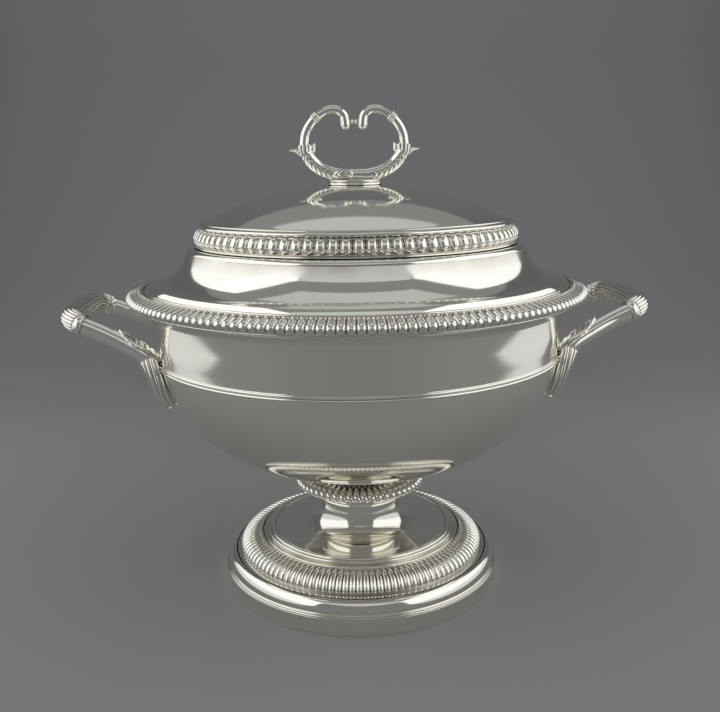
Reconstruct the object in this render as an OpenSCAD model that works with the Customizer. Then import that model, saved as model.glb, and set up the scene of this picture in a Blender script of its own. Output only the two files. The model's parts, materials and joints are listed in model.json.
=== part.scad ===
// Round silver soup tureen with a domed lift-off lid, two loop handles and a pedestal foot.
// Millimetres. Origin at the bottom centre, +Z up, the front is -Y, the handles lie on the X axis.

/* [Foot] */
// Radius of the upright band that the tureen stands on
foot_r = 95.6; // [90:0.2:100]
// Height of the upright band
foot_band_h = 11; // [9:0.5:12]
// Radius at the outer ends of the foot's lobes
foot_lobe_r = 83.6; // [81:0.2:85]
// Radius of the reeded step inside the lobes
foot_step_r = 62.6; // [60:0.2:64]
// Height of the reeded step's top edge
foot_step_z = 36; // [35:0.5:37]
// Radius of the stem at its narrowest
stem_r = 27; // [25:0.5:29]

/* [Knop] */
// Outer radius of the gadrooned knop under the bowl
knop_r = 45.1; // [42:0.5:48]
// Height of the knop's outer edge
knop_z = 68; // [67:0.5:69]

/* [Bowl] */
// Outer radius of the bowl at the girdle
bowl_r = 134; // [132:0.5:135]
// Depth of the bowl's rounded underside
bowl_depth = 88.5; // [86:0.5:90]
// Height of the bowl's widest rounded part
girdle_z = 164.5; // [163:0.5:166]
// Height of the bowl's top edge
rim_z = 200; // [199:0.5:201]
// Thickness of the raised silver sheet
sheet = 1.4; // [1.2:0.1:1.8]
// Outer radius of the gadrooned border on the rim
border_r = 150; // [149:0.2:151]

/* [Lid] */
// Outer radius of the lid's reeded edge
lid_edge_r = 138.7; // [138:0.1:139]
// Gap between the lid and the bowl, all round and below
lid_gap = 0.4; // [0.3:0.1:0.6]
// Radius of the lid's upright wall
lid_wall_r = 111; // [109:0.5:113]
// Outer radius of the lobed border round the dome
lid_lobe_r = 106.6; // [105:0.2:108]
// Height of the reeded moulding at the foot of the dome
dome_z = 247; // [245:0.5:248]
// Height at the top of the dome
dome_top_z = 271; // [269:0.5:273]

/* [Finial] */
// Radius of the finial's reeded plate
plate_r = 18; // [16:0.5:20]
// Radius of the finial's round tube
finial_tube_r = 2.95; // [2.6:0.05:3.1]
// Radius of the stud that holds the finial to the lid
stud_r = 2.5; // [2:0.1:3]

/* [Handles] */
// Distance from the centre line to each handle's collars
collar_x = 173; // [170:0.5:176]
// Half the distance between one handle's two collars
collar_y = 39; // [38:0.5:41]
// Height of the collars
collar_z = 189; // [187:0.5:191]
// Distance from the centre line to the middle of each grip
grip_x = 182; // [181:0.5:184]
// Radius of the plain arms at the collars
arm_r = 5.7; // [5:0.1:6]
// Radius of the fluted grip
grip_r = 6.8; // [6:0.1:7.2]

/* [Hidden] */

silver = [0.86, 0.85, 0.82];
ring_fn = 180;
tube_sides = 16;

band_t = 2;
bead_r = 0.75;
bead_top_z = foot_band_h + 3 * bead_r;
moulding_top_r = 88.6;
moulding_top_z = 21.6;
lobe_inner_r = 69;
lobe_inner_z = 31.4;
lobe_outer_z = 22;
pedestal_top_z = 56;
neck_top_z = 61.6;
knop_top_z = 74.6;
knop_top_r = 30;
bowl_bottom_z = girdle_z - bowl_depth;
rim_r = 146;
wall_flare_r = 10.6;
wall_flare_z = 9.5;
wall_top_z = girdle_z + 16.5;
seat_z = rim_z + 5.2;
seat_inner_r = 131;
border_inner_r = lid_edge_r + 0.9;
border_z = 203.2;

lid_bottom_z = seat_z + lid_gap;
lid_edge_top_z = lid_bottom_z + 3.2;
bezel_r = seat_inner_r - 2 * lid_gap;
bezel_bottom_z = 196;
lid_wall_z = 224;
lid_ledge_z = 233.5;
lid_dome_r = 99;
dome_rise = 56;
dome_from = asin((dome_z + 1 - dome_top_z + dome_rise) / dome_rise);
dome_a = (lid_dome_r - 1) / cos(dome_from);
plate_z = dome_top_z;
plate_h = 3;
stud_bottom_z = dome_top_z - 11;

// ---------- shared shapes ----------

// Points of an ellipse arc about [cx, cz]
function arc(cx, cz, rx, rz, from, to, n = 12) =
    [for (i = [0:n]) let (a = from + (to - from) * i / n) [cx + rx * cos(a), cz + rz * sin(a)]];

function reversed(list) = [for (i = [len(list) - 1:-1:0]) list[i]];

// The same outline moved inward and down by the sheet's thickness
function unit(v) = v / norm(v);
function normal_at(line, i) =
    let (a = line[max(i - 1, 0)], b = line[min(i + 1, len(line) - 1)], d = unit(b - a)) [d[1], -d[0]];
function inset_line(line, t) = [for (i = [0:len(line) - 1]) line[i] - t * normal_at(line, i)];

// A turned ring or shell from its half outline
module turned(outline) {
    rotate_extrude($fn = ring_fn) polygon(outline);
}

// Sheet metal that follows one outer line, wound from the bottom up
module turned_sheet(line, t = sheet) {
    turned(concat(line, reversed(inset_line(line, t))));
}

// Rings of points for a tube along a path, kept upright across the path's own plane
function path_dir(p, i) = unit(p[min(i + 1, len(p) - 1)] - p[max(i - 1, 0)]);
function tube_ring(p, r, i, side) =
    let (d = path_dir(p, i), u = unit(side - (side * d) * d), v = cross(d, u))
    [for (k = [0:tube_sides - 1]) let (a = 360 * k / tube_sides)
        p[i] + r[i][0] * cos(a) * u + r[i][1] * sin(a) * v];

// A round or oval tube along a path; r holds [across, up] for each point
module swept(p, r, side) {
    n = len(p);
    rings = [for (i = [0:n - 1]) for (q = tube_ring(p, r, i, side)) q];
    s = tube_sides;
    walls = [for (i = [0:n - 2]) for (k = [0:s - 1]) let (k2 = (k + 1) % s)
        each [[i * s + k, i * s + k2, (i + 1) * s + k2], [i * s + k, (i + 1) * s + k2, (i + 1) * s + k]]];
    first = [for (k = [1:s - 2]) [0, k + 1, k]];
    last_start = (n - 1) * s;
    last = [for (k = [1:s - 2]) [last_start, last_start + k, last_start + k + 1]];
    polyhedron(points = rings, faces = concat(walls, first, last));
}

// Smooth curve through hand-set points
function curve_point(a, b, c, d, t) =
    0.5 * ((2 * b) + (c - a) * t + (2 * a - 5 * b + 4 * c - d) * t * t
        + (3 * b - a - 3 * c + d) * t * t * t);
function smooth(p, steps) =
    let (n = len(p))
    [for (i = [0:n - 2]) for (k = [0:(i == n - 2 ? steps : steps - 1)])
        curve_point(p[max(i - 1, 0)], p[i], p[i + 1], p[min(i + 2, n - 1)], k / steps)];

// ---------- foot ----------

module foot_band() {
    color(silver)
        turned([[foot_r - band_t, 0], [foot_r, 0], [foot_r, foot_band_h],
            [foot_r - band_t, foot_band_h]]);
}

module foot_bead_wire() {
    color(silver)
        turned(concat(
            [[foot_r - band_t, foot_band_h]],
            arc(foot_r - bead_r, foot_band_h + bead_r, bead_r, bead_r, -90, 60, 8),
            arc(foot_r - bead_r - 0.4, foot_band_h + 2.1 * bead_r, bead_r, bead_r, 0, 90, 6),
            [[foot_r - band_t, bead_top_z + 0.1 * bead_r]]));
}

// Outer line of the moulding: a rounded shoulder that rises from the bead
moulding_h = moulding_top_z - bead_top_z - 0.1;
function moulding_line() =
    arc(moulding_top_r - 0.6, bead_top_z + 0.1, 6, moulding_h, 0, 84, 12);

module foot_moulding() {
    color(silver) turned_sheet(moulding_line());
}

module foot_lobed_border() {
    color(silver)
        turned(concat(
            [[moulding_top_r - 1.2, moulding_top_z - 1.4], [moulding_top_r - 0.2, moulding_top_z]],
            [[foot_lobe_r + 1, moulding_top_z]],
            arc(foot_lobe_r - 14, lobe_outer_z + 1.6, 14, 9, 0, 88, 14),
            [[lobe_inner_r, lobe_inner_z - 1.6], [foot_lobe_r - 6, lobe_outer_z + 1.5]]));
}

module foot_reeded_step() {
    color(silver)
        turned(concat(
            [[foot_step_r - 2, foot_step_z - 3], [lobe_inner_r, lobe_inner_z - 1.6]],
            [[lobe_inner_r, lobe_inner_z]],
            arc(lobe_inner_r - 1.7, lobe_inner_z + 0.6, 1.4, 1.4, -20, 100, 8),
            arc(foot_step_r + 1.6, foot_step_z - 1.1, 1.4, 1.4, 0, 110, 8),
            [[foot_step_r - 2, foot_step_z - 0.4]]));
}

// Outer line of the pedestal: almost flat near the step, then a hollow sweep up to the stem
function pedestal_line() = concat(
    [[foot_step_r - 2, foot_step_z - 0.9]],
    arc(stem_r + 14, foot_step_z + 14.5, 13.6, 14.2, 270, 180, 16),
    [[stem_r, pedestal_top_z]]);

module foot_pedestal() {
    color(silver) turned_sheet(pedestal_line());
}

module neck_ring() {
    color(silver)
        turned(concat(
            [[stem_r - sheet, pedestal_top_z]],
            arc(stem_r, pedestal_top_z + 2.6, 3, 2.6, -90, 90, 12),
            [[stem_r, neck_top_z], [stem_r - sheet, neck_top_z]]));
}

module gadrooned_knop() {
    color(silver)
        turned(concat(
            [[stem_r - sheet, neck_top_z], [stem_r + 0.4, neck_top_z], [stem_r + 3, neck_top_z + 1.8]],
            arc(knop_r - 8, knop_z + 0.5, 8, 4.9, -85, 70, 16),
            [[knop_top_r, knop_top_z], [knop_top_r - 2, bowl_bottom_z + 1.4],
                [stem_r - sheet, bowl_bottom_z + 1.4]]));
}

module bowl_socket() {
    color(silver)
        difference() {
            translate([0, 0, bowl_bottom_z - 4]) cylinder(r = stem_r - sheet, h = 8, $fn = ring_fn);
            bowl_outside(0);
        }
}

// ---------- bowl ----------

// Outer line of the bowl from its lowest point to the rim
function bowl_line() = concat(
    arc(0, girdle_z, bowl_r, bowl_depth, -90, 0, 36),
    [[bowl_r + 0.2, girdle_z + 6], [bowl_r + 1, wall_top_z]],
    arc(rim_r, rim_z - wall_flare_z, wall_flare_r, wall_flare_z, 172, 100, 10),
    [[rim_r, rim_z]]);

function bowl_inner_line() = concat(
    arc(0, girdle_z, bowl_r - sheet, bowl_depth - sheet, -90, 0, 36),
    [[bowl_r - sheet + 0.2, girdle_z + 6], [bowl_r - sheet + 1, wall_top_z]],
    arc(rim_r, rim_z - wall_flare_z + sheet, wall_flare_r + sheet, wall_flare_z, 172, 100, 10),
    [[rim_r, rim_z + sheet]]);

module bowl_outside(grow) {
    rotate_extrude($fn = ring_fn)
        polygon(concat([[0, rim_z]], arc(0, girdle_z, bowl_r + grow, bowl_depth + grow, -90, 0, 36)));
}

module bowl() {
    color(silver) turned(concat(bowl_line(), reversed(bowl_inner_line())));
}

module girdle_moulding() {
    color(silver)
        turned(concat(
            [[bowl_r + 0.02, girdle_z - 3.8]],
            arc(bowl_r, girdle_z - 2.8, 1.1, 1, -60, 60, 6),
            arc(bowl_r + 0.1, girdle_z - 0.8, 1.1, 1, -60, 60, 6),
            [[bowl_r + 0.02, girdle_z + 0.2]]));
}

module rim_wire() {
    color(silver)
        rotate_extrude($fn = ring_fn) translate([rim_r - 2, rim_z - 1]) circle(r = 0.8, $fn = 24);
}

module gadroon_border() {
    color(silver)
        turned(concat(
            [[border_inner_r, seat_z], [border_inner_r, rim_z + 1.6], [rim_r, rim_z + 1.6],
                [rim_r, rim_z - 0.4]],
            arc(border_r - 5.5, border_z, 5.5, 3.6, -75, 60, 14),
            arc(border_inner_r + 1.6, seat_z + 1.6, 1.6, 1.6, 60, 180, 6)));
}

module lid_seat() {
    color(silver)
        turned([[seat_inner_r, seat_z - sheet], [border_inner_r - 0.02, seat_z - sheet],
            [border_inner_r - 0.02, seat_z], [seat_inner_r, seat_z]]);
}

// ---------- handles ----------

// Middle line of the right front arm, from the bowl's side up to the collar
arm_start = [132.5, -47, 168.5];
arm_points = [[126.5, -48.5, 156], arm_start, [146, -43.6, 176.8], [160, -40.6, 183.6],
    [collar_x, -collar_y, collar_z], [collar_x + 6, -collar_y + 1, collar_z + 2.6]];
mount_points = [[113.5, -50, 137.5], [118.8, -50, 144], [123.5, -49.2, 152], [128.3, -48, 160.6],
    arm_start];
grip_points = [[collar_x, -collar_y, collar_z], [collar_x + 5.6, -collar_y + 3.8, collar_z + 2.3],
    [grip_x - 0.7, -collar_y + 12, collar_z + 3.8], [grip_x + 0.2, -13, collar_z + 4.5],
    [grip_x + 0.4, 0, collar_z + 4.6]];

up = [0, 0, 1];
across = [0, 1, 0];
arm_line = smooth(arm_points, 4);
arm_main = [for (i = [4:15]) arm_line[i]];
collar_line = [for (i = [15:16]) arm_line[i]];
grip_half = smooth(grip_points, 4);
grip_line = concat(grip_half, [for (i = [len(grip_half) - 2:-1:0])
    [grip_half[i][0], -grip_half[i][1], grip_half[i][2]]]);

// Places one shape for each arm: [handle side, front or back]
module arm_side(right, front) {
    if (right && front) children();
    if (right && !front) mirror(across) children();
    if (!right && front) mirror([1, 0, 0]) children();
    if (!right && !front) mirror([1, 0, 0]) mirror(across) children();
}

module grip() {
    n = len(grip_line);
    color(silver)
        swept([for (i = [1:n - 2]) grip_line[i]], [for (i = [1:n - 2]) [grip_r, grip_r]], up);
}

module collar_band() {
    color(silver)
        swept([arm_line[15], arm_line[16], grip_line[1]],
            [[arm_r + 0.6, arm_r + 0.6], [grip_r + 0.3, grip_r + 0.3], [grip_r + 0.3, grip_r + 0.3]], up);
}

module arm() {
    n = len(arm_main) - 1;
    color(silver) swept(arm_main, [for (i = [0:n]) arm_r * (0.86 + 0.14 * i / n) * [1, 1]], up);
}

module leaf_mount() {
    line = smooth(mount_points, 3);
    n = len(line) - 1;
    color(silver)
        swept(line, [for (i = [0:n]) let (t = i / n)
            [2.5 + 6.4 * sin(130 * t) * (1 - 0.3 * t), 1.6 + 4 * t]], across);
}

module arm_leaf() {
    line = [for (i = [2:10]) arm_line[i] + [-3.6, 0.2, 4.4]];
    n = len(line) - 1;
    color(silver)
        swept(line, [for (i = [0:n]) let (t = i / n) [1 + 4 * sin(160 * t + 14), 0.7 + 1.6 * (1 - t)]], across);
}

// ---------- lid ----------

// Outer line of the lid's sheet: flange, upright wall, ledge, then the dome
function lid_line() = concat(
    [[lid_edge_r - 2.4, lid_bottom_z], [lid_edge_r - 4, lid_bottom_z + 3.6]],
    arc(lid_edge_r - 2, lid_wall_z + 10, lid_edge_r - lid_wall_r - 2.2, 23, 262, 208, 12),
    arc(lid_wall_r - 4, lid_ledge_z - 3, 3.6, 3, 0, 90, 6),
    [[lid_lobe_r - 2.6, lid_ledge_z + 0.4], [lid_dome_r + 0.6, dome_z - 3]],
    arc(0, dome_top_z - dome_rise, dome_a, dome_rise, dome_from, 90, 22));

module lid_shell() {
    line = lid_line();
    inner = inset_line(line, sheet);
    n = len(line) - 1;
    color(silver)
        difference() {
            turned(concat(line, [[0, dome_top_z - sheet]], reversed([for (i = [1:n - 1]) inner[i]]),
                [[line[0][0] - 1.1 * sheet, lid_bottom_z]]));
            translate([0, 0, stud_bottom_z]) cylinder(r = stud_r + 0.3, h = 30, $fn = 48);
        }
}

module lid_edge_reeding() {
    color(silver)
        turned(concat(
            [[lid_edge_r - 2.4, lid_bottom_z]],
            arc(lid_edge_r - 1.2, lid_bottom_z + 1.2, 1.2, 1.2, -90, 40, 8),
            arc(lid_edge_r - 2.2, lid_edge_top_z - 1, 1, 1, 10, 120, 8),
            [[lid_edge_r - 3.4, lid_edge_top_z - 0.8]]));
}

module lid_bezel() {
    color(silver)
        turned([[bezel_r - sheet, bezel_bottom_z], [bezel_r, bezel_bottom_z],
            [bezel_r, lid_bottom_z + 4.4], [bezel_r - sheet, lid_bottom_z + 4.4]]);
}

module lid_lobed_border() {
    color(silver)
        turned(concat(
            [[lid_lobe_r - 2.4, lid_ledge_z + 0.6]],
            arc(lid_lobe_r - 5, dome_z - 8.4, 5, 5, -40, 60, 10),
            [[lid_dome_r + 2, dome_z - 2], [lid_dome_r + 0.8, dome_z - 2.8]]));
}

module lid_reeded_moulding() {
    color(silver)
        turned(concat(
            [[lid_dome_r + 2, dome_z - 1.9]],
            arc(lid_dome_r + 2.5, dome_z - 0.6, 1.3, 1.3, -60, 70, 8),
            arc(lid_dome_r + 0.4, dome_z + 1, 1, 1, 10, 120, 8),
            [[lid_dome_r - 0.6, dome_z + 0.6]]));
}

// ---------- finial ----------

// Middle lines of the finial's right half, in its upright plane
branch_points = [[0, 0, 276.6], [9, 0, 276.8], [18, 0, 278.6], [26, 0, 283.6], [31, 0, 290]];
sheath_points = [[31, 0, 290], [32.6, 0, 293.4], [32.4, 0, 297]];
tube_points = [[32.4, 0, 297], [31.4, 0, 302], [29.2, 0, 307.4], [25.6, 0, 312]];
collar_points = [[25.6, 0, 312], [23, 0, 314.2]];
scroll_points = [[23, 0, 314.2], [17, 0, 317.4], [11, 0, 317.6], [6.8, 0, 314.4], [5.6, 0, 309.4],
    [5.5, 0, 304.8]];

module finial_side(right) {
    if (right) children();
    else mirror([1, 0, 0]) children();
}

module finial_branch() {
    line = smooth(branch_points, 4);
    n = len(line) - 1;
    color(silver)
        swept(line, [for (i = [0:n]) [2.9 + 1.5 * i / n, 3.2 + 0.8 * i / n]], across);
}

module finial_sheath() {
    line = smooth(sheath_points, 4);
    n = len(line) - 1;
    color(silver) swept(line, [for (i = [0:n]) [4.4, 4 + 3 * sin(180 * i / n)]], across);
}

module finial_tube() {
    line = smooth(tube_points, 4);
    color(silver) swept(line, [for (p = line) [finial_tube_r, finial_tube_r]], across);
}

module finial_collar() {
    line = smooth(collar_points, 4);
    color(silver) swept(line, [for (p = line) [finial_tube_r + 0.9, finial_tube_r + 0.9]], across);
}

module finial_scroll() {
    line = smooth(scroll_points, 4);
    n = len(line) - 1;
    color(silver)
        swept(line, [for (i = [0:n]) let (t = i / n)
            (t < 0.72 ? [finial_tube_r, finial_tube_r] : (3.2 - 10 * max(0, t - 0.9)) * [1, 1])], across);
}

module finial_bar() {
    color(silver)
        translate([-2.4, 0, 310.2]) rotate([0, 90, 0]) cylinder(r = 1.6, h = 4.8, $fn = 32);
}

module finial_plate() {
    color(silver)
        difference() {
            turned(concat(
                [[0, plate_z + 0.05]],
                arc(plate_r - 1, plate_z + 1.05, 1, 1, -90, 60, 8),
                arc(plate_r - 2, plate_z + plate_h - 1, 1, 1, 10, 100, 8),
                [[0, plate_z + plate_h]]));
            translate([0, 0, plate_z - 1]) cylinder(r = stud_r, h = plate_h - 0.6, $fn = 48);
        }
}

module finial_stud() {
    color(silver)
        translate([0, 0, stud_bottom_z])
            cylinder(r = stud_r, h = plate_z + plate_h - 1.7 - stud_bottom_z, $fn = 48);
}

module finial_washer() {
    color(silver)
        translate([0, 0, dome_top_z - sheet - 1.5])
            difference() {
                cylinder(r = 8, h = 1.2, $fn = 64);
                translate([0, 0, -1]) cylinder(r = stud_r + 0.3, h = 4, $fn = 48);
            }
}

module finial_nut() {
    color(silver)
        translate([0, 0, dome_top_z - sheet - 6.2])
            difference() {
                cylinder(r = 5.2, h = 4.6, $fn = 6);
                translate([0, 0, -1]) cylinder(r = stud_r, h = 8, $fn = 48);
            }
}

// ---------- one line for each node ----------

foot_band();
foot_bead_wire();
foot_moulding();
foot_lobed_border();
foot_reeded_step();
foot_pedestal();
neck_ring();
gadrooned_knop();
bowl_socket();
bowl();
girdle_moulding();
rim_wire();
gadroon_border();
lid_seat();
mirror([1, 0, 0]) grip();  // left_grip
arm_side(false, true) collar_band();  // left_front_collar
arm_side(false, false) collar_band();  // left_back_collar
arm_side(false, true) arm();  // left_front_arm
arm_side(false, false) arm();  // left_back_arm
arm_side(false, true) leaf_mount();  // left_front_leaf_mount
arm_side(false, false) leaf_mount();  // left_back_leaf_mount
arm_side(false, true) arm_leaf();  // left_front_arm_leaf
arm_side(false, false) arm_leaf();  // left_back_arm_leaf
grip();  // right_grip
arm_side(true, true) collar_band();  // right_front_collar
arm_side(true, false) collar_band();  // right_back_collar
arm_side(true, true) arm();  // right_front_arm
arm_side(true, false) arm();  // right_back_arm
arm_side(true, true) leaf_mount();  // right_front_leaf_mount
arm_side(true, false) leaf_mount();  // right_back_leaf_mount
arm_side(true, true) arm_leaf();  // right_front_arm_leaf
arm_side(true, false) arm_leaf();  // right_back_arm_leaf
lid_shell();
lid_edge_reeding();
lid_bezel();
lid_lobed_border();
lid_reeded_moulding();
finial_plate();
finial_side(false) finial_branch();  // finial_left_branch
finial_side(true) finial_branch();  // finial_right_branch
finial_side(false) finial_sheath();  // finial_left_sheath
finial_side(true) finial_sheath();  // finial_right_sheath
finial_side(false) finial_tube();  // finial_left_tube
finial_side(true) finial_tube();  // finial_right_tube
finial_side(false) finial_collar();  // finial_left_collar
finial_side(true) finial_collar();  // finial_right_collar
finial_side(false) finial_scroll();  // finial_left_scroll
finial_side(true) finial_scroll();  // finial_right_scroll
finial_bar();
finial_stud();
finial_washer();
finial_nut();
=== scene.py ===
import json
import math

import bpy
from mathutils import Matrix, Vector

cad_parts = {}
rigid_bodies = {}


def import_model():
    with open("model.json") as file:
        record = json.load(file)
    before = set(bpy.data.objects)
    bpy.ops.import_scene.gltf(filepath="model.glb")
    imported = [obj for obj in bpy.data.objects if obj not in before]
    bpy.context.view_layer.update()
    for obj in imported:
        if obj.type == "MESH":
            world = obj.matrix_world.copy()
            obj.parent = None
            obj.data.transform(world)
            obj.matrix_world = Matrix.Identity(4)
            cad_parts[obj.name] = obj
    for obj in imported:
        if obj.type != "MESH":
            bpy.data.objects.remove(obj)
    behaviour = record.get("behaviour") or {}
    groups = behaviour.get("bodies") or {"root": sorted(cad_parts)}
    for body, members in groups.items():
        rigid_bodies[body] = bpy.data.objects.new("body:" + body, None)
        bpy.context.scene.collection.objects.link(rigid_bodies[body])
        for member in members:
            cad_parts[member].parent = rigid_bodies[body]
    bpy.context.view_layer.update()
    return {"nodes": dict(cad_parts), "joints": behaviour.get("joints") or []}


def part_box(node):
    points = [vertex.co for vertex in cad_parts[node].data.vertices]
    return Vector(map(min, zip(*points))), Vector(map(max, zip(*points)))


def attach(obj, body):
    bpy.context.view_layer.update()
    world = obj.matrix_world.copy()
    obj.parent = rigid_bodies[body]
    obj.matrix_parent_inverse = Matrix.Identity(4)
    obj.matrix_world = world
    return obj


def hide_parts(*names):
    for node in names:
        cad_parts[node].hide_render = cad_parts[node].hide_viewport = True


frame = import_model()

mm = 0.001
rootBody = frame["joints"][0]["parent"]
lidBody = frame["joints"][0]["child"]
print("frame loaded,", len(frame["nodes"]), "nodes")


# Silver

silverLook = {
    "bright": (0.945, 0.93, 0.855, 1),
    "tarnish": (0.23, 0.19, 0.12, 1),
    "satin": (0.80, 0.785, 0.74, 1),
}


def addNode(tree, kind, **inputs):
    node = tree.nodes.new(kind)
    for name, value in inputs.items():
        node.inputs[name].default_value = value
    return node


def silver(name, colour, roughness, wear=0.5, scratch=0.006, grain=900):
    # Polished metal: dark in the recesses, with soft cloudy wear and fine polishing marks
    mat = bpy.data.materials.new(name)
    mat.use_nodes = True
    tree = mat.node_tree
    shader = tree.nodes["Principled BSDF"]
    shader.inputs["Metallic"].default_value = 1
    recess = tree.nodes.new("ShaderNodeAttribute")
    recess.attribute_name = "recess"
    place = tree.nodes.new("ShaderNodeTexCoord")
    clouds = addNode(tree, "ShaderNodeTexNoise", Scale=38, Detail=4, Roughness=0.6)
    tree.links.new(place.outputs["Object"], clouds.inputs["Vector"])
    # Tarnish stays where polishing cloths don't reach
    dirt = tree.nodes.new("ShaderNodeMath")
    dirt.operation = "MULTIPLY_ADD"
    dirt.inputs[1].default_value = 1.5
    tree.links.new(clouds.outputs["Fac"], dirt.inputs[0])
    dirt.inputs[2].default_value = -0.25
    amount = tree.nodes.new("ShaderNodeMath")
    amount.operation = "MULTIPLY"
    amount.use_clamp = True
    tree.links.new(recess.outputs["Fac"], amount.inputs[0])
    tree.links.new(dirt.outputs[0], amount.inputs[1])
    tint = tree.nodes.new("ShaderNodeMix")
    tint.data_type = "RGBA"
    tint.inputs["A"].default_value = colour
    tint.inputs["B"].default_value = silverLook["tarnish"]
    tree.links.new(amount.outputs[0], tint.inputs["Factor"])
    tree.links.new(tint.outputs["Result"], shader.inputs["Base Color"])
    # Roughness: polish, a little uneven, dull in the recesses
    uneven = tree.nodes.new("ShaderNodeMapRange")
    uneven.inputs["To Min"].default_value = roughness * (1 - wear)
    uneven.inputs["To Max"].default_value = roughness * (1 + wear)
    tree.links.new(clouds.outputs["Fac"], uneven.inputs["Value"])
    rough = tree.nodes.new("ShaderNodeMix")
    rough.inputs["B"].default_value = 0.45
    tree.links.new(amount.outputs[0], rough.inputs["Factor"])
    tree.links.new(uneven.outputs["Result"], rough.inputs["A"])
    tree.links.new(rough.outputs["Result"], shader.inputs["Roughness"])
    # Fine marks left by polishing
    marks = addNode(tree, "ShaderNodeTexNoise", Scale=grain, Detail=3, Roughness=0.7)
    tree.links.new(place.outputs["Object"], marks.inputs["Vector"])
    bump = addNode(tree, "ShaderNodeBump", Strength=scratch, Distance=0.001)
    tree.links.new(marks.outputs["Fac"], bump.inputs["Height"])
    tree.links.new(bump.outputs["Normal"], shader.inputs["Normal"])
    return mat


polished = silver("polishedSilver", silverLook["bright"], 0.085)
cast = silver("castSilver", silverLook["bright"], 0.12, scratch=0.02, grain=500)
satin = silver("satinSilver", silverLook["satin"], 0.28, scratch=0.05, grain=700)


# Ways of making a piece

def arc(centreR, centreZ, radiusR, radiusZ, start, end, count=10):
    turn = [math.radians(start + (end - start) * i / count) for i in range(count + 1)]
    return [(centreR + radiusR * math.cos(a), centreZ + radiusZ * math.sin(a)) for a in turn]


def softCorners(points, radius, closed=True, count=4, least=18):
    # Rounds each corner of an outline, as polishing does
    out = []
    n = len(points)
    for i, p in enumerate(points):
        here = Vector(p)
        if not closed and i in (0, n - 1):
            out.append(here)
            continue
        back, ahead = Vector(points[i - 1]) - here, Vector(points[(i + 1) % n]) - here
        if back.length < 1e-7 or ahead.length < 1e-7:
            continue
        if math.degrees(math.pi - back.angle(ahead)) < least:
            out.append(here)
            continue
        reach = min(radius, back.length * 0.45, ahead.length * 0.45)
        a, b = here + back.normalized() * reach, here + ahead.normalized() * reach
        for k in range(count + 1):
            t = k / count
            out.append(a * (1 - t) ** 2 + here * 2 * t * (1 - t) + b * t * t)
    return out


def hollows(points, closed=True, width=0.35 * mm):
    # How far each outline point lies in a groove: 0 on open metal, 1 in a tight hollow
    n = len(points)
    value = [0.0] * n
    for i in range(n):
        if not closed and i in (0, n - 1):
            continue
        a, b, c = points[i - 1], points[i], points[(i + 1) % n]
        before, after = b - a, c - b
        if before.length < 1e-8 or after.length < 1e-8:
            continue
        turn = math.atan2(before.cross(after), before.dot(after))
        bend = -turn / (before.length + after.length) * 2 * mm
        value[i] = min(1.0, max(0.0, bend * 1.4))
    spread = list(value)
    for i in range(n):
        for step in (-1, 1):
            reach, j = 0.0, i
            while reach < width:
                k = (j + step) % n
                reach += (points[k] - points[j]).length + 1e-9
                j = k
                spread[i] = max(spread[i], value[j] * max(0.0, 1 - reach / width))
                if j == i:
                    break
    return spread


def makeObject(name, verts, faces, recess, material):
    mesh = bpy.data.meshes.new(name)
    mesh.from_pydata(verts, [], faces)
    mesh.polygons.foreach_set("use_smooth", [True] * len(faces))
    layer = mesh.attributes.new("recess", "FLOAT", "POINT")
    layer.data.foreach_set("value", recess)
    mesh.materials.append(material)
    mesh.set_sharp_from_angle(angle=math.radians(48))
    obj = bpy.data.objects.new(name, mesh)
    bpy.context.scene.collection.objects.link(obj)
    return obj


def finishPiece(obj, body, *nodes):
    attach(obj, body)
    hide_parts(*nodes)
    return obj


def refined(points, relief, step=0.42 * mm):
    # Adds points where the relief is, so that it is cut evenly
    out = []
    for i, p in enumerate(points):
        q = points[(i + 1) % len(points)]
        count = 1
        if relief((p + q) / 2, 0)[0] or relief(p, 0)[0]:
            count = max(1, round((q - p).length / step))
        out += [p.lerp(q, k / count) for k in range(count)]
    return out


def turned(name, outline, material, steps=288, corner=0.3 * mm, relief=None):
    # A ring or shell turned round the Z axis; the closed outline runs anticlockwise in (r, z)
    points = softCorners(outline, corner)
    if relief:
        points = refined(points, relief)
    groove = hollows(points)
    n = len(points)
    normals = []
    for i in range(n):
        along = (points[(i + 1) % n] - points[i - 1]).normalized()
        normals.append(Vector((along.y, -along.x)))
    verts, faces, recess = [], [], []
    for s in range(steps):
        for i in range(n):
            angle = 2 * math.pi * s / steps
            push, dark = relief(points[i], angle) if relief else (0.0, 0.0)
            r, z = points[i] + normals[i] * push
            verts.append((r * math.cos(angle), r * math.sin(angle), z))
            recess.append(max(groove[i], dark))
    for s in range(steps):
        t = (s + 1) % steps
        for i in range(n):
            j = (i + 1) % n
            faces.append((s * n + i, t * n + i, t * n + j, s * n + j))
    return makeObject(name, verts, faces, recess, material)


def ringSize(node):
    low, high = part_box(node)
    return high.x, low.z, high.z


def sheetOutline(line, thickness):
    # The line is the outer face from the bottom up; the inner face runs back beside it
    points = [Vector(p) for p in line]
    inner = []
    for i, p in enumerate(points):
        along = points[min(i + 1, len(points) - 1)] - points[max(i - 1, 0)]
        inner.append(p - Vector((along.y, -along.x)).normalized() * thickness)
    return points + inner[::-1]


def lobe(angle, count, end, lean=0.0):
    # Height of a rounded lobe from 0 in the gap to 1 on top; end runs from 0 on its body to 1 past its tip
    across = 2 * (((angle + lean) * count / (2 * math.pi)) % 1) - 1
    return math.sqrt(max(0.0, 1 - across * across - max(0.0, end) ** 2))


# Foot

foot = {
    "sheet": 1.4 * mm, "bandWall": 2 * mm, "lobes": 117, "lobeHeight": 2.2 * mm,
    "lobeFrom": -4, "lobeTip": 15, "fadeFrom": 60, "fadeOver": 30,  # degrees round the border's section
}

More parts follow.
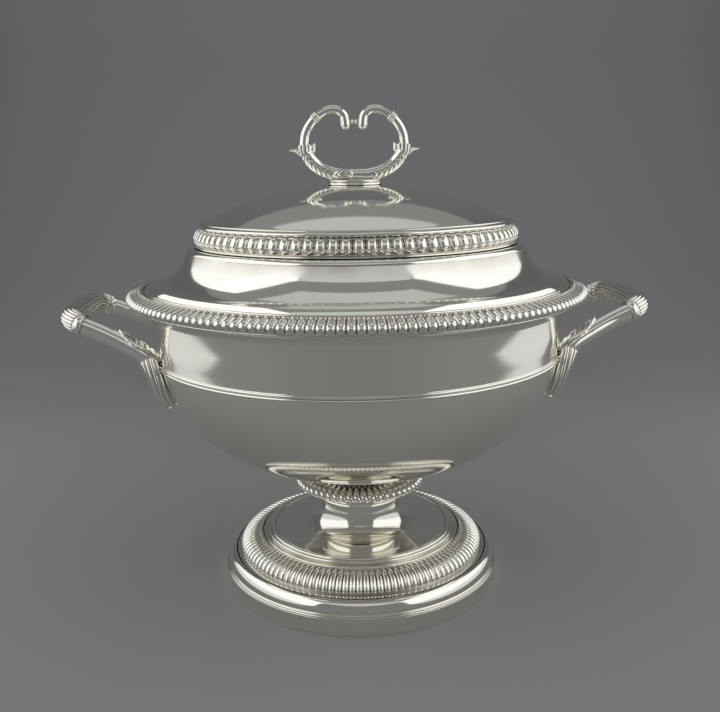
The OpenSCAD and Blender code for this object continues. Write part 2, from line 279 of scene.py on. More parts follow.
bandR, bandLow, bandTop = ringSize("foot_band")
footBand = turned("footBand", [
    (bandR - foot["bandWall"], bandLow), (bandR, bandLow), (bandR, bandTop),
    (bandR - foot["bandWall"], bandTop)], polished)
finishPiece(footBand, rootBody, "foot_band")

beadR, beadLow, beadTop = ringSize("foot_bead_wire")
footBead = turned("footBeadWire",
    [(beadR - foot["bandWall"], beadLow)]
    + arc(beadR - 0.75 * mm, beadLow + 0.75 * mm, 0.75 * mm, 0.75 * mm, -90, 75, 8)
    + arc(beadR - 1.25 * mm, beadTop - 0.55 * mm, 0.6 * mm, 0.6 * mm, -40, 90, 8)
    + [(beadR - foot["bandWall"], beadTop)], polished, corner=0.15 * mm)
finishPiece(footBead, rootBody, "foot_bead_wire")

mouldR, mouldLow, mouldTop = ringSize("foot_moulding")
footMoulding = turned("footMoulding", sheetOutline(
    arc(mouldR - 6 * mm, mouldLow, 6 * mm, mouldTop - mouldLow, 0, 84, 16), foot["sheet"]), polished)
finishPiece(footMoulding, rootBody, "foot_moulding")

lobeR, _, lobeTop = ringSize("foot_lobed_border")
stepR, stepLow, stepTop = ringSize("foot_reeded_step")
innerLobe = stepR + 0.2 * mm
lobeMid = Vector((innerLobe + 1 * mm, mouldTop + 1.2 * mm))
lobeSize = Vector((lobeR - 4 * mm - innerLobe, lobeTop - mouldTop - 0.9 * mm))


def footLobe(point, angle):
    r, z = point
    turn = math.degrees(math.atan2((z - lobeMid.y) / lobeSize.y, (r - lobeMid.x) / lobeSize.x))
    if z < mouldTop + 0.35 * mm or r < innerLobe + 1.5 * mm or r > lobeR - 2.8 * mm:
        return 0.0, 0.0
    tip = 1 - (turn - foot["lobeFrom"]) / foot["lobeTip"]
    ridge = lobe(angle, foot["lobes"], max(tip, (turn - foot["fadeFrom"]) / foot["fadeOver"]))
    return foot["lobeHeight"] * (ridge - 1), (1 - ridge) ** 2


footLobed = turned("footLobedBorder",
    [(lobeR - 1.6 * mm, mouldTop - 1.2 * mm), (lobeR - 0.6 * mm, mouldTop),
        (lobeR - 3.6 * mm, mouldTop + 0.3 * mm)]
    + arc(*lobeMid, *lobeSize, foot["lobeFrom"], 92, 30)
    + [(innerLobe, lobeTop - 1.8 * mm), (lobeR - 12 * mm, mouldTop + 2 * mm)],
    cast, steps=foot["lobes"] * 10, relief=footLobe)
finishPiece(footLobed, rootBody, "foot_lobed_border")

footStep = turned("footReededStep",
    [(stepR - 8.2 * mm, stepLow + 1.2 * mm), (stepR, stepLow), (stepR, stepLow + 1.4 * mm)]
    + arc(stepR - 1.2 * mm, stepLow + 2.0 * mm, 1.2 * mm, 1.2 * mm, -10, 110, 8)
    + [(stepR - 3.0 * mm, stepLow + 3.1 * mm)]
    + arc(stepR - 4.0 * mm, stepTop - 2.1 * mm, 1.0 * mm, 1.0 * mm, -30, 100, 8)
    + arc(stepR - 6.2 * mm, stepTop - 1.2 * mm, 1.2 * mm, 1.2 * mm, -10, 120, 8)
    + [(stepR - 8.2 * mm, stepTop - 0.9 * mm)], polished, corner=0.2 * mm)
finishPiece(footStep, rootBody, "foot_reeded_step")

pedestal = {"stem": 27 * mm, "sweepR": 14 * mm, "sweepZ": 14.5 * mm}
pedestalR, _, pedestalTop = ringSize("foot_pedestal")
footPedestal = turned("footPedestal", sheetOutline(
    [(pedestalR, stepTop - 0.9 * mm), (pedestalR - 8 * mm, stepTop - 0.5 * mm)]
    + arc(pedestal["stem"] + pedestal["sweepR"], stepTop + pedestal["sweepZ"],
          pedestal["sweepR"], pedestal["sweepZ"], 268, 180, 24)
    + [(pedestal["stem"], pedestalTop)], foot["sheet"]), polished)
finishPiece(footPedestal, rootBody, "foot_pedestal")
print("foot made")

# Knop

knop = {
    "gadroons": 56, "height": 2.2 * mm, "slant": 0.08, "inner": 0.66, "fade": 0.08,
    "tip": 72,  # degrees below the knop's widest part at which a gadroon ends
}
neckR, neckLow, neckTop = ringSize("neck_ring")
bore = pedestal["stem"] - foot["sheet"]
neckRing = turned("neckRing",
    [(bore, neckLow)]
    + arc(pedestal["stem"], neckLow + 2.6 * mm, neckR - pedestal["stem"], 2.6 * mm, -90, 90, 14)
    + [(pedestal["stem"], neckTop), (bore, neckTop)], polished)
finishPiece(neckRing, rootBody, "neck_ring")

knopR, knopLow, knopTop = ringSize("gadrooned_knop")
knopMid = Vector((knopR - 8 * mm, knopLow + 6.9 * mm))
knopSize = Vector((8, 4.9)) * mm


def knopGadroon(point, angle):
    r, z = point
    turn = math.degrees(math.atan2((z - knopMid.y) / knopSize.y, (r - knopMid.x) / knopSize.x))
    if r < knopR * knop["inner"] or (turn < -knop["tip"] and z < knopMid.y):
        return 0.0, 0.0
    fade = min(1, (r - knopR * knop["inner"]) / (knopR * knop["fade"]))
    lean = knop["slant"] * (z - knopLow) / (knopTop - knopLow)
    ridge = lobe(angle, knop["gadroons"], -turn / knop["tip"] if z < knopMid.y else 0, lean)
    return knop["height"] * fade * (ridge - 1), (1 - ridge) ** 2


gadroonedKnop = turned("gadroonedKnop",
    [(bore, knopLow), (pedestal["stem"] + 0.4 * mm, knopLow),
        (pedestal["stem"] + 3 * mm, knopLow + 1.9 * mm)]
    + arc(*knopMid, *knopSize, -85, 66, 22)
    + [(knopR * 0.7, knopTop - 3.2 * mm), (knopR * 0.64, knopTop - 0.4 * mm), (bore, knopTop)],
    cast, steps=knop["gadroons"] * 12, relief=knopGadroon)
finishPiece(gadroonedKnop, rootBody, "gadrooned_knop")

# Bowl

bowlSize = {
    "radius": 134 * mm, "depth": 88.5 * mm, "sheet": 1.4 * mm,
    "flareR": 10.6 * mm, "flareZ": 9.5 * mm,
}
girdleR, girdleLow, girdleTop = ringSize("girdle_moulding")
rimR, bowlLow, bowlTop = ringSize("bowl")
waist = bowlLow + bowlSize["depth"]


def bowlFace(inset):
    shell = bowlSize["radius"] - inset
    lip = bowlTop - bowlSize["sheet"] + inset
    return (arc(0, waist, shell, bowlSize["depth"] - inset, -89.6, 0, 60)
            + [(shell + 0.2 * mm, waist + 6 * mm), (shell + 1 * mm, waist + 16.5 * mm)]
            + arc(rimR, lip - bowlSize["flareZ"], bowlSize["flareR"] + inset, bowlSize["flareZ"],
                  172, 100, 14)
            + [(rimR, lip)])


bowl = turned("bowl", bowlFace(0) + bowlFace(bowlSize["sheet"])[::-1], polished, steps=360)
finishPiece(bowl, rootBody, "bowl")

girdle = turned("girdleMoulding",
    [(bowlSize["radius"] - 0.3 * mm, girdleLow)]
    + arc(girdleR - 1.2 * mm, girdleLow + 1 * mm, 1.1 * mm, 1 * mm, -70, 70, 8)
    + arc(girdleR - 1.1 * mm, girdleTop - 1 * mm, 1.1 * mm, 1 * mm, -70, 70, 8)
    + [(bowlSize["radius"] - 0.3 * mm, girdleTop)], polished, corner=0.12 * mm)
finishPiece(girdle, rootBody, "girdle_moulding")

wireR, wireLow, wireTop = ringSize("rim_wire")
wire = (wireTop - wireLow) / 2
rimWire = turned("rimWire", arc(wireR - wire, wireLow + wire, wire, wire, 0, 337.5, 15), polished)
finishPiece(rimWire, rootBody, "rim_wire")

border = {"gadroons": 178, "height": 1.9 * mm, "width": 8.6 * mm, "fade": 1.8 * mm}
borderR, borderLow, borderTop = ringSize("gadroon_border")
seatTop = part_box("lid_seat")[1].z
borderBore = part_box("lid_seat")[1].x


def rimGadroon(point, angle):
    r, z = point
    start = borderR - border["width"]
    if r < start or z < borderLow + 0.1 * mm:
        return 0.0, 0.0
    end = 1 - (r - start) / border["fade"] if z > borderLow + 4 * mm else 0
    ridge = lobe(angle, border["gadroons"], end)
    return border["height"] * (ridge - 1), (1 - ridge) ** 2


gadroonBorder = turned("gadroonBorder",
    [(borderBore, seatTop), (borderBore, borderLow + 2 * mm), (rimR, borderLow + 2 * mm), (rimR, borderLow)]
    + arc(borderR - 5.5 * mm, borderLow + 3.6 * mm, 5.5 * mm, 3.6 * mm, -75, 70, 24)
    + arc(borderBore + 1.5 * mm, borderTop - 1.4 * mm, 1.4 * mm, 1.4 * mm, 60, 180, 6),
    cast, steps=border["gadroons"] * 10, corner=0.15 * mm, relief=rimGadroon)
finishPiece(gadroonBorder, rootBody, "gadroon_border")
print("bowl made")

# Lid

lidSize = {"sheet": 1.4 * mm, "wallR": 111 * mm, "domeR": 99 * mm, "domeRise": 56 * mm}
edgeR, edgeLow, edgeTop = ringSize("lid_edge_reeding")
lidLobeR, lidLobeLow, _ = ringSize("lid_lobed_border")
reedR, reedLow, reedTop = ringSize("lid_reeded_moulding")
lidFlangeR, lidLow, domeTop = ringSize("lid_shell")
ledge = lidLobeLow - 0.6 * mm
wallBase = ledge - 9.5 * mm
domeEdge = math.asin((reedTop - 0.6 * mm - domeTop + lidSize["domeRise"]) / lidSize["domeRise"])
domeA = (lidSize["domeR"] - 1 * mm) / math.cos(domeEdge)

lidLine = ([(lidFlangeR, lidLow), (edgeR - 4 * mm, lidLow + 3.6 * mm)]
    + arc(edgeR - 2 * mm, wallBase + 10 * mm, edgeR - lidSize["wallR"] - 2.2 * mm, 23 * mm, 262, 208, 20)
    + arc(lidSize["wallR"] - 4 * mm, ledge - 3 * mm, 3.6 * mm, 3 * mm, 0, 90, 8)
    + [(lidLobeR - 2.6 * mm, ledge + 0.4 * mm), (lidSize["domeR"] + 0.6 * mm, reedLow - 1 * mm)]
    + arc(0, domeTop - lidSize["domeRise"], domeA, lidSize["domeRise"], math.degrees(domeEdge), 89.7, 44))
lidShell = turned("lidShell", sheetOutline(lidLine, lidSize["sheet"]), polished, steps=360)
finishPiece(lidShell, lidBody, "lid_shell")

lidEdge = turned("lidEdgeReeding",
    [(edgeR - 2.4 * mm, edgeLow)]
    + arc(edgeR - 1.2 * mm, edgeLow + 1.2 * mm, 1.2 * mm, 1.2 * mm, -90, 60, 8)
    + arc(edgeR - 2.4 * mm, edgeTop - 0.9 * mm, 0.9 * mm, 0.9 * mm, -10, 120, 8)
    + [(edgeR - 3.4 * mm, edgeTop - 0.8 * mm)], polished, corner=0.12 * mm)
finishPiece(lidEdge, lidBody, "lid_edge_reeding")

lidBorder = {
    "lobes": 92, "height": 1.5 * mm,
    "egg": 0.7, "outline": 0.75,  # the egg's share of a lobe's width, and the outline's share of its height
}
eggMid = Vector((lidLobeR - 6.2 * mm, lidLobeLow + 4.2 * mm))
eggSize = Vector((5.6, 6.6)) * mm


def lidLobe(point, angle):
    # An egg inside a raised tongue-shaped outline
    r, z = point
    turn = math.degrees(math.atan2((z - eggMid.y) / eggSize.y, (r - eggMid.x) / eggSize.x))
    if turn < -22 or turn > 76 or r < eggMid.x:
        return 0.0, 0.0
    across = 2 * ((angle * lidBorder["lobes"] / (2 * math.pi)) % 1) - 1
    away = math.hypot(across, max(0.0, (14 - turn) / 36))
    if away < lidBorder["egg"]:
        height = math.sqrt(1 - (away / lidBorder["egg"]) ** 3)
    elif away < 1:
        between = (away - lidBorder["egg"]) / (1 - lidBorder["egg"])
        height = lidBorder["outline"] * math.sin(math.pi * between) ** 0.7
    else:
        height = 0.0
    return lidBorder["height"] * (height - 1), (1 - height) ** 2


lidLobed = turned("lidLobedBorder",
    [(lidLobeR - 3 * mm, lidLobeLow), (lidLobeR - 0.5 * mm, lidLobeLow),
        (lidLobeR - 0.2 * mm, lidLobeLow + 0.9 * mm), (lidLobeR - 1.5 * mm, lidLobeLow + 1.2 * mm)]
    + arc(*eggMid, *eggSize, -24, 78, 30)
    + [(lidSize["domeR"] + 2 * mm, reedLow - 0.1 * mm), (lidSize["domeR"] + 0.8 * mm, reedLow - 0.8 * mm)],
    cast, steps=lidBorder["lobes"] * 14, relief=lidLobe, corner=0.15 * mm)
finishPiece(lidLobed, lidBody, "lid_lobed_border")

lidReeds = turned("lidReededMoulding",
    [(lidSize["domeR"] + 2 * mm, reedLow)]
    + arc(reedR - 1.3 * mm, reedLow + 1.3 * mm, 1.3 * mm, 1.2 * mm, -60, 80, 8)
    + arc(reedR - 3.4 * mm, reedTop - 1 * mm, 1 * mm, 1 * mm, 0, 120, 8)
    + [(lidSize["domeR"] - 0.6 * mm, reedTop - 1.4 * mm)], polished, corner=0.12 * mm)
finishPiece(lidReeds, lidBody, "lid_reeded_moulding")

plateR, plateLow, plateTop = ringSize("finial_plate")
finialPlate = turned("finialPlate",
    [(3 * mm, plateLow - 0.1 * mm), (plateR - 2 * mm, plateLow - 0.5 * mm)]
    + arc(plateR - 0.8 * mm, plateLow + 0.3 * mm, 0.8 * mm, 0.8 * mm, -90, 70, 6)
    + arc(plateR - 1.8 * mm, plateTop - 0.9 * mm, 0.8 * mm, 0.8 * mm, -20, 90, 6)
    + [(3 * mm, plateTop)], polished, corner=0.12 * mm, steps=128)
finishPiece(finialPlate, lidBody, "finial_plate")
print("lid made")

# Swept and leafy shapes

def smoothPath(points, steps):
    # Even curve through the listed points
    p = [Vector(q) for q in points]
    out = []
    for i in range(len(p) - 1):
        a, b, c, d = p[max(i - 1, 0)], p[i], p[i + 1], p[min(i + 2, len(p) - 1)]
        for k in range(steps + (i == len(p) - 2)):
            t = k / steps
            out.append(0.5 * (2 * b + (c - a) * t + (2 * a - 5 * b + 4 * c - d) * t * t
                + (3 * b - a - 3 * c + d) * t ** 3))
    return out


def swept(path, shape, side, sides=48):
    # shape(t, angle) gives the distances across and up from the path, and how dark it is there
    n = len(path)
    verts, faces, recess = [], [], []
    lengths = [0.0]
    for a, b in zip(path, path[1:]):
        lengths.append(lengths[-1] + (b - a).length)
    for i, p in enumerate(path):
        along = (path[min(i + 1, n - 1)] - path[max(i - 1, 0)]).normalized()
        across = (side - side.dot(along) * along).normalized()
        up = along.cross(across)
        for k in range(sides):
            a, b, dark = shape(lengths[i] / lengths[-1], 2 * math.pi * k / sides)
            verts.append(tuple(p + across * a + up * b))
            recess.append(dark)
    for i in range(n - 1):
        for k in range(sides):
            j = (k + 1) % sides
            faces.append((i * sides + k, i * sides + j, (i + 1) * sides + j, (i + 1) * sides + k))
    faces.append(tuple(range(sides))[::-1])
    faces.append(tuple(range((n - 1) * sides, n * sides)))
    return verts, faces, recess


def merged(*parts):
    verts, faces, recess = [], [], []
    for v, f, r in parts:
        faces += [tuple(i + len(verts) for i in face) for face in f]
        verts += v
        recess += r
    return verts, faces, recess


def mirrored(part, flipX=False, flipY=False):
    verts, faces, recess = part
    sx, sy = (-1 if flipX else 1), (-1 if flipY else 1)
    if sx * sy < 0:
        faces = [f[::-1] for f in faces]
    return [(x * sx, y * sy, z) for x, y, z in verts], faces, recess


def roundTube(radius):
    return lambda t, a: (radius(t) * math.cos(a), radius(t) * math.sin(a), 0.0)


def petal(points, width, thick, side, veins=0, lift=0.35, steps=10, sides=28):
    # One chased leaf: pointed at both ends, with a raised midrib and slanting veins
    def shape(t, a):
        swell = math.sin(math.pi * min(1, 0.06 + t * 0.94)) ** 0.7
        c, s = math.cos(a), math.sin(a)
        edge = abs(c)
        vein = 0.5 + 0.5 * math.cos(2 * math.pi * (veins * t + 1.3 * edge)) if veins else 1.0
        scallop = 1 - 0.16 * (1 - vein) * edge ** 3
        high = 1 - lift * (1 - vein) * (edge > 0.12) + 0.25 * max(0, 1 - edge / 0.16)
        up = thick * swell * s * (high if s > 0 else 0.7)
        dark = (1 - vein) ** 2 * 0.8 if s > 0 else 0.0
        return width * swell * c * scallop, up, dark
    return swept(smoothPath(points, steps), shape, side, sides)


# Handles

handle = {
    "gripR": 6.8 * mm, "reeds": 16, "reedDepth": 1.0 * mm, "reedEnd": 0.012,
    "armR": 5.7 * mm, "armThin": 0.86,
    "collarGroove": 0.3,  # the groove's share of the collar's length
}
gripR = handle["gripR"]
armR = handle["armR"]
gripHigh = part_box("right_grip")[1]
gripMid = Vector((gripHigh.x - gripR, 0, gripHigh.z - gripR))
collar = gripMid + Vector((-9.4, -39, -4.6)) * mm


def fromCollar(*offsets):
    return [collar + Vector(q) * mm for q in offsets]


armPoints = fromCollar((-46.5, -9.5, -33), (-40.5, -8, -20.5), (-27, -4.6, -12.2), (-13, -1.6, -5.4),
    (0, 0, 0), (6, 1, 2.6))
armCurve = smoothPath(armPoints, 12)
gripLine = [*fromCollar((0, 0, 0), (5.6, 3.8, 2.3), (8.7, 12, 3.8), (9.2, 26, 4.5)), gripMid]
gripHalf = smoothPath(gripLine, 12)
gripCurve = gripHalf + [Vector((p.x, -p.y, p.z)) for p in gripHalf[-2::-1]]
upward = Vector((0, 0, 1))
crosswise = Vector((0, 1, 0))


def reeded(t, a):
    end = min(1, min(t, 1 - t) / handle["reedEnd"])
    across = 2 * ((a * handle["reeds"] / (2 * math.pi)) % 1) - 1
    ridge = math.sqrt(max(0.0, 1 - across * across)) * math.sqrt(max(0.0, 1 - (1 - end) ** 2))
    r = gripR - handle["reedDepth"] * (1 - ridge)
    return r * math.cos(a), r * math.sin(a), (1 - ridge) ** 2


gripPart = swept(gripCurve[4:-4], reeded, upward, handle["reeds"] * 12)


def collarShape(t, a):
    # A groove at the arm's end, then a raised ring
    groove = handle["collarGroove"]
    if t < groove:
        dark = math.sin(math.pi * t / groove)
        r = armR * (0.985 - 0.1 * dark)
    else:
        r = gripR - 0.7 * mm + 0.95 * mm * math.sin(math.pi * (t - groove) / (1 - groove)) ** 0.6
        dark = 0.0
    return r * math.cos(a), r * math.sin(a), dark


collarCurve = [armCurve[46], armCurve[47], armCurve[48]] + gripHalf[1:5]
collarPath = smoothPath(collarCurve, 4)
collarPart = swept(collarPath, collarShape, upward, 64)
armPart = swept(armCurve[10:47], roundTube(lambda t: armR * (handle["armThin"]
    + (1 - handle["armThin"]) * t)), upward, 64)

mount = {
    "thick": 5.5 * mm, "swell": 2.1 * mm, "thinner": 0.7 * mm, "folds": 5, "twist": 5, "foldCut": 1.1 * mm,
    "tip": 0.3,  # the share of its length over which the lower end is rounded
}
mountCurve = fromCollar((-54.8, -12.8, -51), (-50.8, -12.4, -44.5), (-47.4, -11.2, -36.6),
    (-44, -9.6, -28.2), (-40.5, -8, -20.5))


def mountBody(t, a):
    # A thick acanthus leaf, round at its lower end and gathered into folds
    c, s = math.cos(a), math.sin(a)
    atJoint = t > 0.975
    end = math.sqrt(max(0.02, 1 - (1 - min(1, t / mount["tip"])) ** 2))
    fold = abs(math.sin(a * mount["folds"] + mount["twist"] * t))
    wide = mount["thick"] + mount["swell"] * math.sin(math.pi * (1 - t) ** 0.7)
    high = mount["thick"] - mount["thinner"] * (1 - t)
    cutIn = mount["foldCut"] * (1 - fold) ** 1.4 + (0.5 * mm if atJoint else 0)
    return (wide - cutIn) * end * c, (high - cutIn) * end * s, (1 - fold) ** 1.6 + atJoint


def roundBead(place, radius):
    path = [place + Vector((0, 0, radius * math.cos(math.pi * i / 8))) for i in range(9)]
    ball = roundTube(lambda t: radius * math.sqrt(max(0.0, 1 - (2 * t - 1) ** 2)))
    return swept(path, ball, crosswise, 16)


mountPart = merged(
    swept(smoothPath(mountCurve, 16), mountBody, crosswise, 120),
    roundBead(mountCurve[0] + Vector((0.8, -1.6, 0.2)) * mm, 1.6 * mm))


leaf = {"width": 5.0 * mm, "veins": 8, "bed": 0.9 * mm, "edge": 0.7 * mm, "veinCut": 0.25 * mm}


def leafOnArm(t, a):
    # A pointed leaf bent over the upper inner side of the arm, with a raised edge and midrib
    c, s = math.cos(a), math.sin(a)
    x = leaf["width"] * math.sin(math.pi * min(1, 0.04 + 0.96 * t)) ** 0.55 * c
    vein = 0.5 + 0.5 * math.cos(2 * math.pi * (leaf["veins"] * t + 1.2 * abs(c)))
    bed = math.sqrt(max(0.0, (armR * 0.93) ** 2 - x * x))
    rim = max(0.0, 1 - abs(abs(c) - 0.86) / 0.14) + 0.8 * max(0.0, 1 - abs(c) / 0.14)
    hollow = (1 - vein) * (1 - min(1, rim))
    if s > 0:
        high = leaf["bed"] + leaf["edge"] * rim - leaf["veinCut"] * hollow
        return x, bed + high * abs(s) ** 0.35, hollow * 0.9
    return x, bed - 0.8 * mm * abs(s) ** 0.35, 0.0


leafCurve = armCurve[8:31]
leafPart = swept(smoothPath(leafCurve[::2], 5), leafOnArm, Vector((-0.2, 1, -0.3)), 56)

for sideWord, flipX in (("left", True), ("right", False)):
    grip = makeObject(sideWord + "Grip", *mirrored(gripPart, flipX), cast)
    finishPiece(grip, rootBody, sideWord + "_grip")
    for endWord, flipY in (("front", False), ("back", True)):
        word = sideWord + endWord.capitalize()
        node = sideWord + "_" + endWord + "_"
        for part, pieceWord, nodeWord, metal in (
                (collarPart, "Collar", "collar", polished), (armPart, "Arm", "arm", polished),
                (mountPart, "LeafMount", "leaf_mount", cast), (leafPart, "ArmLeaf", "arm_leaf", cast)):
            piece = makeObject(word + pieceWord, *mirrored(part, flipX, flipY), metal)
            finishPiece(piece, rootBody, node + nodeWord)
print("handles made")

# Finial

finial = {"tube": 2.9 * mm, "foot": 3.1 * mm, "bulb": 3.3 * mm}
plateMid = Vector((0, 0, plateTop))


def onPlate(*offsets):
    return [plateMid + Vector((x, y, z)) * mm for x, y, z in offsets]


def branchShape(t, a):
    # Smooth along the inner edge, chased with slanting leaflets outside
    c, s = math.cos(a), math.sin(a)
    outside = 1.0 if s < 0.2 else max(0.0, 1 - (s - 0.2) / 0.15)
    along = max(0.0, (t - 0.3) / 0.7)
    vein = abs(math.sin(math.pi * (11 * t + 1.3 * abs(s + 0.2))))
    cut = outside * (1 - vein) * min(1, along * 6) * (1 - max(0.0, -s - 0.55) / 0.45)
    wide = (3.2 + 1.5 * t) * mm
    high = (3.3 + 1.2 * math.sin(math.pi * min(1, t * 0.62))) * mm
    return (wide - 0.6 * mm * cut) * c, (high - 0.35 * mm * cut) * s, cut


def sheathShape(t, a):
    # A cup of leaves round the foot of the tube; its rim is scalloped and rolls outward
    c, s = math.cos(a), math.sin(a)
    leaf = abs(math.cos(3 * a))
    r = (4.3 + 0.5 * t ** 2 - 0.8 * (1 - leaf) ** 2 * (0.4 + 0.6 * t)) * mm
    if t > 0.96:
        r *= 0.78
    return r * c, r * s, (1 - leaf) ** 2


def knotLeaf(t, a):
    # The chevron leaf at the end of the branch that crosses in front
    c, s = math.cos(a), math.sin(a)
    swell = math.sin(math.pi * (0.1 + 0.9 * t)) ** 0.6
    vein = abs(math.sin(math.pi * (4 * t + 1.4 * abs(s))))
    return (1.4 - 0.5 * (1 - vein)) * mm * swell * c, 3.1 * mm * swell * s, (1 - vein) ** 2


def bandedShape(t, a):
    ring = abs(math.sin(3 * math.pi * t))
    r = finial["tube"] + (0.15 + 0.85 * ring ** 0.7) * mm
    return r * math.cos(a), r * math.sin(a), (1 - ring) ** 3


def scrollRadius(t):
    if t < 0.62:
        return finial["tube"] - 0.1 * mm * math.sin(math.pi * t / 0.62)
    swell = finial["tube"] + (finial["bulb"] - finial["tube"]) * min(1, (t - 0.62) / 0.2)
    return swell * math.sqrt(max(0.004, 1 - max(0.0, (t - 0.875) / 0.125) ** 2))


branchLine = onPlate((-2, -1.4, 3.2), (3, -1.2, 3.0), (9, -0.4, 3.0), (18, 0, 4.9), (26, 0, 9.8),
    (31.2, 0, 16.4))
branchPart = swept(smoothPath(branchLine, 20), branchShape, crosswise, 64)
sheathLine = onPlate((29.6, 0, 13.6), (31.6, 0, 17.6), (32.0, 0, 22.2))
outerTip = onPlate((32.5, 0, 13.4), (35.6, 0, 16.4), (38.6, 0, 18.4), (42.2, 0, 18.6))
innerTip = onPlate((28.2, 0, 15.5), (27.4, 0, 18.6), (26.6, 0, 21.4), (25.6, 0, 23.4))
sheathPart = merged(
    swept(smoothPath(sheathLine, 12), sheathShape, crosswise, 72),
    petal(outerTip, 2.4 * mm, 1.5 * mm, crosswise, veins=3),
    petal(innerTip, 1.9 * mm, 1.5 * mm, crosswise, veins=2))
knotLine = onPlate((-1.5, -4.2, 3.2), (-6, -4.4, 3.4), (-11, -3.8, 3.2), (-15.5, -2.6, 2.4))
knotPart = swept(smoothPath(knotLine, 14), knotLeaf, crosswise, 40)
tubePart = swept(smoothPath(onPlate((32.5, 0, 21), (31.6, 0, 28), (29.2, 0, 33.4), (25.6, 0, 38)), 10),
    roundTube(lambda t: finial["foot"] + (finial["tube"] - finial["foot"]) * t), crosswise, 40)
bandedPart = swept(smoothPath(onPlate((26.2, 0, 37.4), (23, 0, 40.2)), 30), bandedShape, crosswise, 40)
scrollLine = onPlate((23.2, 0, 40.1), (17, 0, 43.4), (11, 0, 43.6), (6.8, 0, 40.4), (5.6, 0, 35.4),
    (5.5, 0, 30.8))
scrollPart = swept(smoothPath(scrollLine, 24), roundTube(scrollRadius), crosswise, 40)

for sideWord, flipX in (("Left", True), ("Right", False)):
    node = "finial_" + sideWord.lower() + "_"
    # The right branch passes in front and ends in the leaf
    branch = branchPart if flipX else merged(branchPart, knotPart)
    for part, word, nodeWord, metal in (
            (branch, "Branch", "branch", cast), (sheathPart, "Sheath", "sheath", cast),
            (tubePart, "Tube", "tube", polished), (bandedPart, "Collar", "collar", polished),
            (scrollPart, "Scroll", "scroll", polished)):
        piece = makeObject("finial" + sideWord + word, *mirrored(part, flipX), metal)
        finishPiece(piece, lidBody, node + nodeWord)


def beaded(t, a):
    bead = abs(math.sin(2 * math.pi * t))
    r = (0.9 + 0.8 * bead) * mm
    return r * math.cos(a), r * math.sin(a), (1 - bead) ** 2


barLow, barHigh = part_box("finial_bar")
barZ = (barLow.z + barHigh.z) / 2
barLine = [Vector((barLow.x + (barHigh.x - barLow.x) * i / 24, 0, barZ)) for i in range(25)]
finialBar = makeObject("finialBar", *swept(barLine, beaded, crosswise, 32), cast)
finishPiece(finialBar, lidBody, "finial_bar")
print("finial made")

# Kept CAD pieces

hidden = ("bowl_socket", "lid_seat", "lid_bezel", "finial_stud", "finial_washer", "finial_nut")
for node, obj in frame["nodes"].items():
    obj.data.materials.clear()
    obj.data.materials.append(satin if node in hidden else polished)

# Studio

studio = {
    "floorRadius": 0.6, "wallRadius": 1.08, "wallHeight": 1.0,
    "pale": (0.34, 0.338, 0.342, 1), "backdrop": (0.36, 0.36, 0.368, 1), "fade": (0.25, 0.9),
    "panelY": -0.2, "panelX": 0.62, "panelLong": 1.3, "panelLevels": ((0.0, 0.2, 0.6), (0.2, 1.08, 0.95)),
    "topSize": (1.0, 0.9), "topAt": (0, 0.3, 1.4), "topGlow": 0.26,
    "frontSize": (1.3, 0.6), "frontAt": (0, -0.95, 1.0), "frontGlow": 0.32,
    "air": (0.23, 0.23, 0.235, 1), "turn": -3.0,
}

sweepR = studio["wallRadius"] - studio["floorRadius"]
studioLine = ([(0.001, 0), (studio["floorRadius"] / 2, 0)]
    + arc(studio["floorRadius"], sweepR, sweepR, sweepR, -90, 0, 20)
    + [(studio["wallRadius"], studio["wallHeight"])])
verts, faces = [], []
for s in range(96):
    a = 2 * math.pi * s / 96
    verts += [(r * math.cos(a), r * math.sin(a), z) for r, z in studioLine]
rows = len(studioLine)
for s in range(96):
    t = (s + 1) % 96
    faces += [(s * rows + i, s * rows + i + 1, t * rows + i + 1, t * rows + i) for i in range(rows - 1)]
cloth = bpy.data.materials.new("studioFloor")
cloth.use_nodes = True
tree = cloth.node_tree
floorShader = tree.nodes["Principled BSDF"]
floorShader.inputs["Roughness"].default_value = 0.9
floorShader.inputs["Specular IOR Level"].default_value = 0.1
where = tree.nodes.new("ShaderNodeTexCoord")
reach = tree.nodes.new("ShaderNodeVectorMath")
reach.operation = "LENGTH"
tree.links.new(where.outputs["Object"], reach.inputs[0])
fade = tree.nodes.new("ShaderNodeMapRange")
fade.interpolation_type = "SMOOTHSTEP"
fade.inputs["From Min"].default_value = studio["fade"][0]
fade.inputs["From Max"].default_value = studio["fade"][1]
tree.links.new(reach.outputs["Value"], fade.inputs["Value"])
shade = tree.nodes.new("ShaderNodeMix")
shade.data_type = "RGBA"
shade.inputs["A"].default_value = studio["pale"]
shade.inputs["B"].default_value = studio["backdrop"]
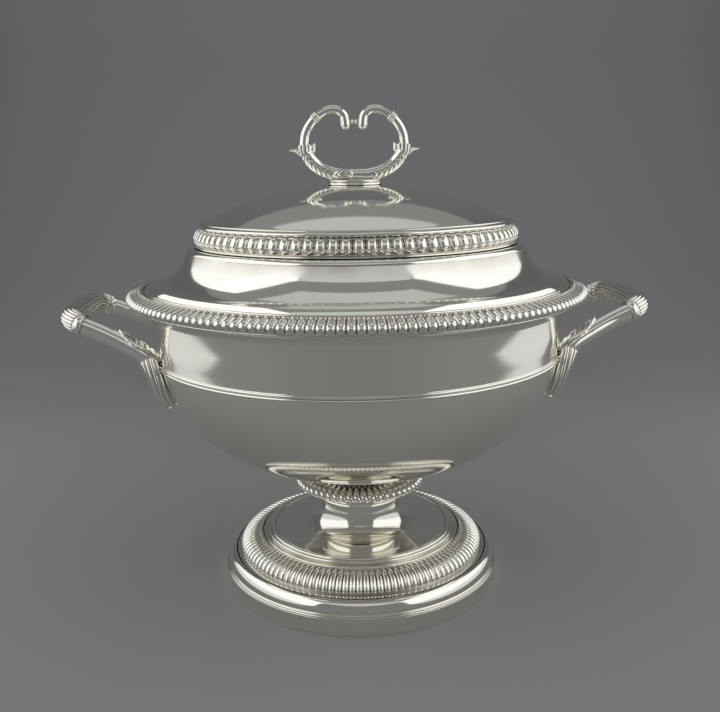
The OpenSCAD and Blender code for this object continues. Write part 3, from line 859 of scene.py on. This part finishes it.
tree.links.new(fade.outputs["Result"], shade.inputs["Factor"])
tree.links.new(shade.outputs["Result"], floorShader.inputs["Base Color"])
floor = makeObject("studioFloor", verts, faces, [0.0] * len(verts), cloth)


def softbox(name, place, target, size, glow):
    light = bpy.data.lights.new(name, "AREA")
    light.shape = "RECTANGLE"
    light.size, light.size_y = size
    light.energy = glow * math.pi * size[0] * size[1]
    obj = bpy.data.objects.new(name, light)
    obj.matrix_world = (Matrix.Rotation(math.radians(studio["turn"]), 4, "Z") @ Matrix.Translation(place)
        @ (Vector(target) - Vector(place)).to_track_quat("-Z", "Y").to_matrix().to_4x4())
    obj.visible_camera = False
    bpy.context.scene.collection.objects.link(obj)
    return obj


for side, word in ((-1, "left"), (1, "right")):
    for level, (low, high, glow) in zip(("Low", "High"), studio["panelLevels"]):
        height = (low + high) / 2
        softbox(word + level + "Panel", (side * studio["panelX"], studio["panelY"], height),
            (0, studio["panelY"], height), (studio["panelLong"], high - low), glow)
softbox("topPanel", studio["topAt"], (0, 0, 0.2), studio["topSize"], studio["topGlow"])
softbox("frontPanel", studio["frontAt"], (0, 0, 0.2), studio["frontSize"], studio["frontGlow"])

world = bpy.data.worlds.new("studioAir")
bpy.context.scene.world = world
world.use_nodes = True
world.node_tree.nodes["Background"].inputs["Color"].default_value = studio["air"]

# Camera

shot = {"distance": 0.559, "aside": 0.00146, "height": 0.2852, "pitch": 13.07, "roll": -0.92,
        "around": -3.0, "lens": 41.9}
camData = bpy.data.cameras.new("camera")
camData.lens = shot["lens"]
camData.sensor_width = 36
camera = bpy.data.objects.new("camera", camData)
camera.matrix_world = (Matrix.Rotation(math.radians(shot["around"]), 4, "Z")
    @ Matrix.Translation((shot["aside"], -shot["distance"], shot["height"]))
    @ Matrix.Rotation(math.radians(90 - shot["pitch"]), 4, "X")
    @ Matrix.Rotation(math.radians(shot["roll"]), 4, "Z"))
bpy.context.scene.collection.objects.link(camera)
bpy.context.scene.camera = camera
bpy.context.scene.view_settings.view_transform = "Standard"
